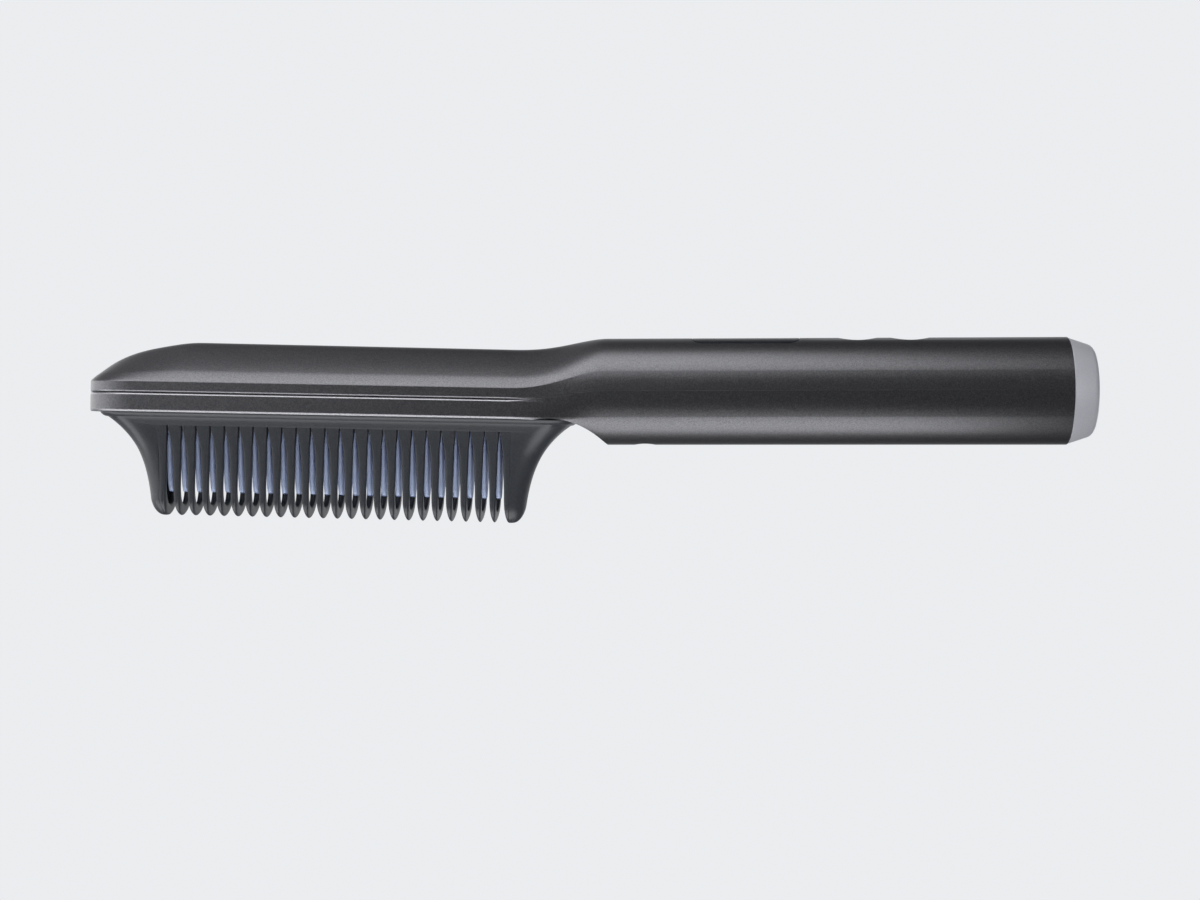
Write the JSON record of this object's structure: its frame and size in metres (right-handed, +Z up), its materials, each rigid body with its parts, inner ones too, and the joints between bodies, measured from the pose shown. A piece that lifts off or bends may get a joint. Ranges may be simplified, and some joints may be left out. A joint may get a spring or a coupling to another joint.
{
  "type": "heated hair comb",
  "caption": "Heated straightening comb with a round grip, a flat tilted head, a row of guarded heated fins, a display lens, two dished push buttons and a swivelling cord gland.",
  "frame": {"origin": "on the grip's axis, in the plane of the end ring's flat face, at the mouth of the cord inlet", "axes": "+X along the grip's axis towards the cord end, +Z up through the display lens and the buttons, the comb's loops hang towards -Z, Y across the width"},
  "size_m": [0.2906, 0.0306, 0.0532],
  "materials": {
    "cover_paint": "satin charcoal paint on moulded plastic",
    "guard_plastic": "satin heat-resistant moulding",
    "fin_coating": "blue ceramic coating on cast aluminium",
    "ring_finish": "light grey satin metallic finish",
    "lens_tint": "gloss dark tint",
    "button_paint": "satin charcoal",
    "dark_plastic": "moulded, fine grain",
    "frame_plastic": "glass-filled moulding",
    "steel": "zinc plated",
    "brass": "plain",
    "ceramic_body": "ceramic in a pale jacket",
    "film": "amber insulating film",
    "board": "solder mask",
    "component_body": "moulded packages",
    "wire_jacket": "silicone jacket",
    "foam": "foam gasket",
    "switch_button": "plain"
  },
  "bodies": {
    "housing": {"upper_cover": "cover_paint", "lower_cover": "cover_paint", "guard_comb": "guard_plastic", "heater_comb": "fin_coating", "ptc_heater": "ceramic_body", "insulating_wrap": "film", "clamp_plate": "steel", "clamp_screws": "steel", "heater_frame": "frame_plastic", "frame_screws": "steel", "thermal_fuse": "steel", "thermistor": "ceramic_body", "heater_wires": "wire_jacket", "end_ring": "ring_finish", "end_cap": "dark_plastic", "contact_block": "dark_plastic", "contact_pins": "brass", "supply_wires": "wire_jacket", "display_lens": "lens_tint", "lens_gasket": "foam", "display_module": "component_body", "control_board": "board", "board_components": "component_body", "board_screws": "steel", "power_switch": "component_body", "temperature_switch": "component_body", "housing_screw": "steel", "screw_plug": "cover_paint"},
    "power_button": {"power_button": "button_paint", "power_plunger": "switch_button"},
    "temperature_button": {"temperature_button": "button_paint", "temperature_plunger": "switch_button"},
    "cord_swivel": {"swivel_gland": "dark_plastic", "swivel_clip": "steel", "slip_rings": "brass"}
  },
  "joints": [
    {"name": "power_button_press", "type": "slide", "parent": "housing", "child": "power_button", "axis": [0, 0, -1], "range_m": [0, 0.0004], "stiffness_N_per_m": 300},
    {"name": "temperature_button_press", "type": "slide", "parent": "housing", "child": "temperature_button", "axis": [0, 0, -1], "range_m": [0, 0.0004], "stiffness_N_per_m": 300},
    {"name": "cord_swivel_turn", "type": "hinge", "parent": "housing", "child": "cord_swivel", "pos_m": [0, 0, 0], "axis": [1, 0, 0], "continuous": true}
  ]
}
